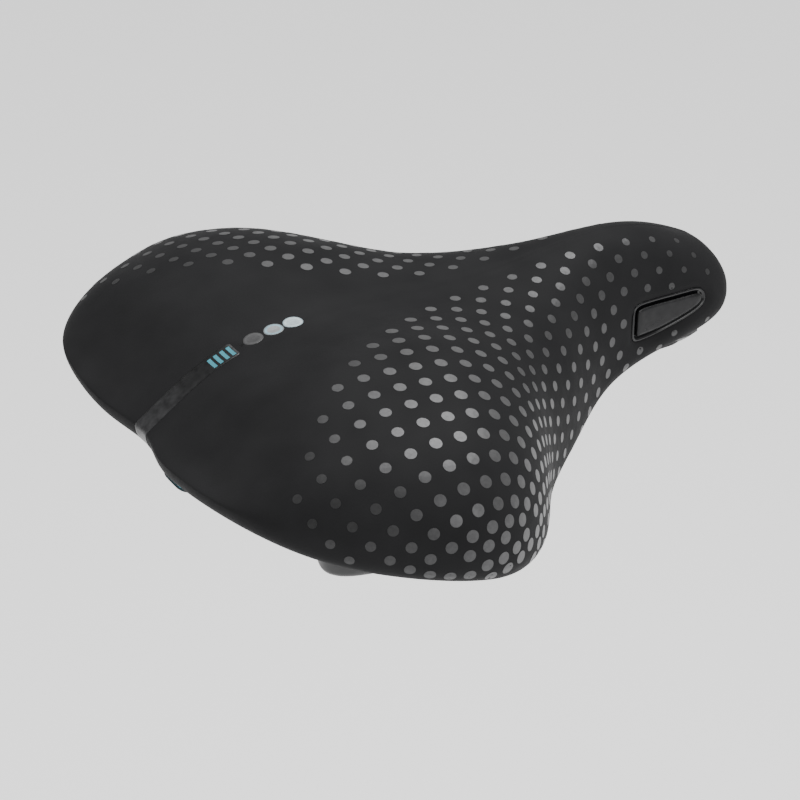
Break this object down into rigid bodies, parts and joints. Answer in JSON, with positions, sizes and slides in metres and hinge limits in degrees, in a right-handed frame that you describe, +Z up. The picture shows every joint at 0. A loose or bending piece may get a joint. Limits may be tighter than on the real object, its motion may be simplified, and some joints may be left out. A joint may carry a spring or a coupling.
{
  "type": "bicycle saddle",
  "caption": "Wide padded comfort saddle with a narrow nose, a printed soft-touch cover, and a seat that rocks on a nose bush over elastomer bumpers at the rear of a steel rail frame.",
  "frame": {"origin": "midway between the two rails, at the middle of their straight clamping length, on the rails' centre lines", "axes": "+Y towards the nose, +X to the rider's right, +Z up"},
  "size_m": [0.226, 0.2435, 0.0788],
  "materials": {
    "cover": "matt soft-touch synthetic skin printed with silver dots",
    "foam": "open moulded foam",
    "gel": "soft gel",
    "shell": "moulded polypropylene",
    "rail": "bright steel bar",
    "bridge": "black coated pressing",
    "socket": "glass-filled nylon",
    "zinc": "zinc plated",
    "cup": "moulded",
    "elastomer": "cyan elastomer",
    "boot": "satin grey moulding",
    "bush": "black rubber",
    "bracket": "glass-filled nylon",
    "badge_tray": "gloss black",
    "badge_plate": "satin grey",
    "strip": "metallic grey film",
    "disc_rear": "grey film",
    "disc_middle": "ringed pale film",
    "disc_front": "pale blue film"
  },
  "bodies": {
    "rail_frame": {"bumper_cup_left": "cup", "bumper_cup_right": "cup", "centre_bolt": "zinc", "centre_foot": "cup", "centre_nut": "zinc", "cup_bolt_left": "zinc", "cup_bolt_right": "zinc", "cup_nut_left": "zinc", "cup_nut_right": "zinc", "elastomer_centre": "elastomer", "elastomer_left": "elastomer", "elastomer_right": "elastomer", "nose_bush": "bush", "rail_socket_left": "socket", "rail_socket_right": "socket", "rail_wire": "rail", "rear_bridge": "bridge", "socket_screw_left": "zinc", "socket_screw_right": "zinc"},
    "seat": {"badge_plate_left": "badge_plate", "badge_plate_right": "badge_plate", "badge_tray_left": "badge_tray", "badge_tray_right": "badge_tray", "base_shell": "shell", "bumper_boot_left": "boot", "bumper_boot_right": "boot", "centre_disc_front": "disc_front", "centre_disc_middle": "disc_middle", "centre_disc_rear": "disc_rear", "centre_strip": "strip", "cover": "cover", "foam_padding": "foam", "gel_pad_left": "gel", "gel_pad_right": "gel", "hem_staple_left_1": "zinc", "hem_staple_left_2": "zinc", "hem_staple_left_3": "zinc", "hem_staple_left_4": "zinc", "hem_staple_left_5": "zinc", "hem_staple_left_6": "zinc", "hem_staple_right_1": "zinc", "hem_staple_right_2": "zinc", "hem_staple_right_3": "zinc", "hem_staple_right_4": "zinc", "hem_staple_right_5": "zinc", "hem_staple_right_6": "zinc", "nose_bracket": "bracket", "nose_clip": "bracket", "nose_screw_front": "zinc", "nose_screw_rear": "zinc"}
  },
  "joints": [
    {"name": "seat_pivot", "type": "hinge", "parent": "rail_frame", "child": "seat", "pos_m": [0, 0.101, 0.0274], "axis": [1, 0, 0], "range_deg": [0, 1.2], "stiffness_Nm_per_rad": 1800, "deforming": ["elastomer_left", "elastomer_right", "elastomer_centre"]}
  ]
}
